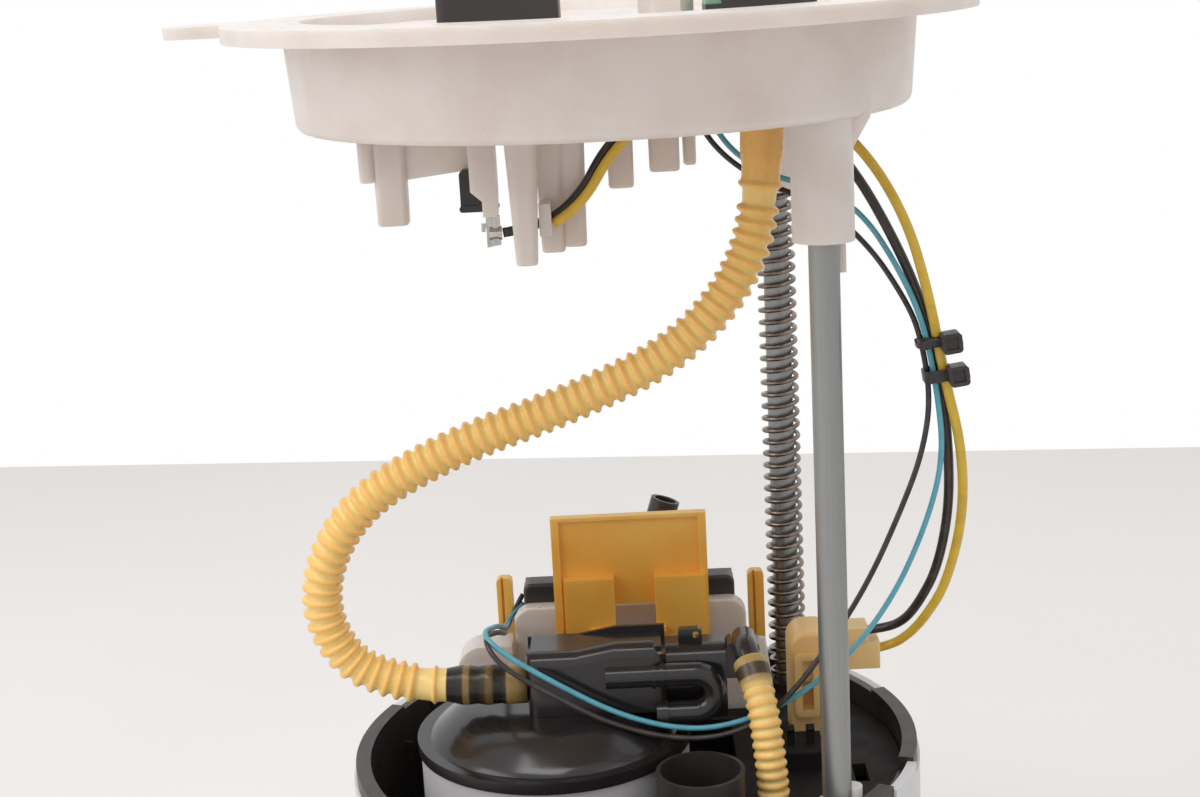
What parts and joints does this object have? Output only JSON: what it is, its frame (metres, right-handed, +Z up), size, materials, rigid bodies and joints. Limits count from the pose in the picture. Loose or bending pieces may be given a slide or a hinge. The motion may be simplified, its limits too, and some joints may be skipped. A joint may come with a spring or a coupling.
{
  "type": "fuel pump module",
  "caption": "In-tank fuel pump module: tank flange on spring-loaded guide rods over a reservoir with pump, filter, level sender and corrugated hose.",
  "frame": {"origin": "centre of the reservoir's base, where the module stands on the tank floor", "axes": "+Z up along the guide rods from the reservoir base to the flange; -Y towards the filter cap, manifold and hoses; +X towards the guide rods"},
  "size_m": [0.1672, 0.1548, 0.2853],
  "materials": {
    "pom_white": "satin, slightly translucent",
    "shell_white": "satin",
    "black_plastic": "satin",
    "black_glossy": "glossy",
    "grey_plastic": "satin",
    "amber_plastic": "glossy, slightly translucent",
    "beige_plastic": "satin",
    "bush_white": "satin",
    "rod_steel": "zinc plated",
    "spring_steel": "dull",
    "clip_steel": "bright",
    "contact_metal": "tinned",
    "pump_steel": "satin",
    "hose_amber": "glossy, translucent",
    "wire_yellow": "satin",
    "wire_black": "satin",
    "wire_blue": "satin",
    "lock_green": "satin",
    "filter_paper": "matt",
    "rubber_black": "matt",
    "float_black": "matt"
  },
  "bodies": {
    "reservoir": {"reservoir_shell": "shell_white", "reservoir_liner": "black_plastic", "foot_valve": "rubber_black", "front_bush": "bush_white", "rear_bush": "bush_white", "spring_seat": "black_plastic", "inner_carrier": "black_plastic", "alignment_cone": "pom_white", "filter_canister": "grey_plastic", "filter_element": "filter_paper", "fuel_pump": "pump_steel", "pump_damper": "rubber_black", "suction_strainer": "filter_paper", "filter_cap": "black_glossy", "outlet_manifold": "black_glossy", "manifold_cover": "black_glossy", "crossover_pipe": "black_glossy", "retaining_lug": "black_glossy", "return_elbow": "black_plastic", "standpipe": "black_plastic", "jet_pump": "black_plastic", "sender_bracket": "pom_white", "sender_housing": "black_plastic", "sender_shield": "amber_plastic", "sender_post_left": "amber_plastic", "sender_post_right": "amber_plastic", "side_holder": "pom_white", "transfer_pipe": "black_glossy", "plug_housing": "beige_plastic", "lower_plug": "beige_plastic", "upper_plug": "beige_plastic", "spring": "spring_steel", "main_hose": "hose_amber", "return_hose": "hose_amber", "wire_yellow": "wire_yellow", "wire_black_power": "wire_black", "wire_blue": "wire_blue", "wire_black_signal": "wire_black", "cable_tie_1": "black_plastic", "cable_tie_2": "black_plastic"},
    "flange": {"flange": "pom_white", "outlet_nipple": "grey_plastic", "pump_socket": "black_plastic", "pump_pins": "contact_metal", "sender_socket": "black_plastic", "sender_pins": "contact_metal", "socket_lock_left": "lock_green", "socket_lock_right": "lock_green", "wire_clip": "black_plastic", "wire_terminal": "contact_metal", "front_rod": "rod_steel", "rear_rod": "rod_steel", "rod_clips": "clip_steel"},
    "float_arm": {"float_hub": "black_plastic", "float_arm": "clip_steel", "float_body": "float_black"}
  },
  "joints": [
    {"name": "flange_slide", "type": "slide", "parent": "reservoir", "child": "flange", "axis": [0, 0, 1], "range_m": [-0.045, 0], "stiffness_N_per_m": 690, "springref_m": 0.016, "deforming": ["spring", "main_hose", "wire_yellow", "wire_black_power", "wire_blue", "wire_black_signal"]},
    {"name": "float_hinge", "type": "hinge", "parent": "reservoir", "child": "float_arm", "pos_m": [0, 0.046, 0.117], "axis": [0, 1, 0], "range_deg": [0, 85]}
  ]
}
